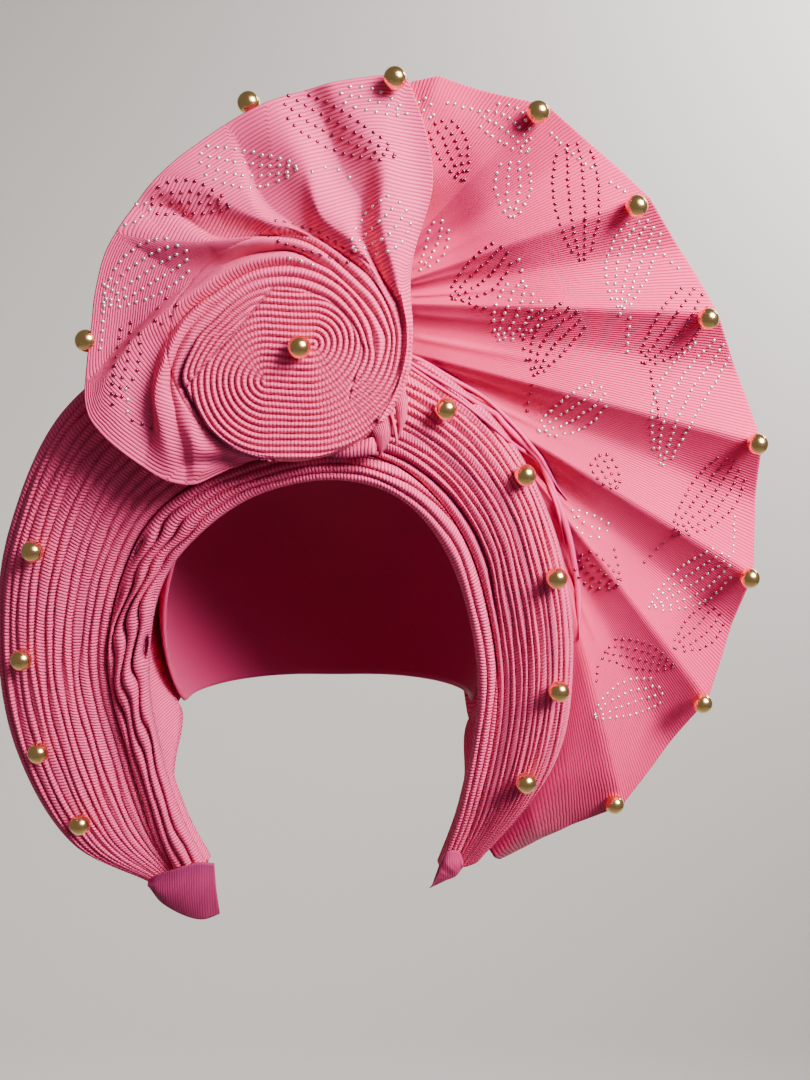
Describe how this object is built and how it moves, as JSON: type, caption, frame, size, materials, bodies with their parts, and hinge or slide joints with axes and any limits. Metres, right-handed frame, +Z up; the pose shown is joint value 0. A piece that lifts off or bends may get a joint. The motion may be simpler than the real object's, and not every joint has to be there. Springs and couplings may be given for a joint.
{
  "type": "tied gele head tie",
  "caption": "Ready-tied gele head tie in ribbed pink cloth: folded face band, finely pleated brim, coiled rosette with a ruffled frill, and a tall pleated fan edged with gold beads.",
  "frame": {"origin": "the crown seat: the top of the hollow where the wearer's head goes in", "axes": "+Z up along the wearer's upright head, -Y out of the front where the face shows, +X to the viewer's right (the wearer's left)"},
  "size_m": [0.3435, 0.2034, 0.3789],
  "materials": {
    "pleated_cloth": "ribbed cloth in narrow rolled pleats, soft sheen",
    "ribbed_cloth": "crosswise ribbed cloth, soft sheen",
    "cap_cloth": "plain lining cloth, matt",
    "gold_bead": "polished gold",
    "silver_stone": "small faceted silver stones",
    "wine_stone": "small faceted wine-red stones"
  },
  "bodies": {
    "root": {"head_cap": "cap_cloth", "face_band": "pleated_cloth", "pleated_brim": "pleated_cloth", "rosette_knot": "pleated_cloth", "pinched_tucks": "pleated_cloth", "rosette_frill": "ribbed_cloth", "pleated_fan": "ribbed_cloth", "fan_fold_inner": "ribbed_cloth", "fan_fold_middle": "ribbed_cloth", "fan_fold_outer": "ribbed_cloth", "jaw_tab_left": "ribbed_cloth", "jaw_tab_right": "ribbed_cloth", "bead_knot": "gold_bead", "bead_brim_left_1": "gold_bead", "bead_brim_left_2": "gold_bead", "bead_brim_left_3": "gold_bead", "bead_brim_left_4": "gold_bead", "bead_brim_right_1": "gold_bead", "bead_brim_right_2": "gold_bead", "bead_brim_right_3": "gold_bead", "bead_brim_right_4": "gold_bead", "bead_brim_right_5": "gold_bead", "bead_rim_1": "gold_bead", "bead_rim_2": "gold_bead", "bead_rim_3": "gold_bead", "bead_rim_4": "gold_bead", "bead_rim_5": "gold_bead", "bead_rim_6": "gold_bead", "bead_rim_7": "gold_bead", "bead_rim_8": "gold_bead", "bead_rim_9": "gold_bead", "bead_rim_10": "gold_bead"}
  },
  "joints": []
}
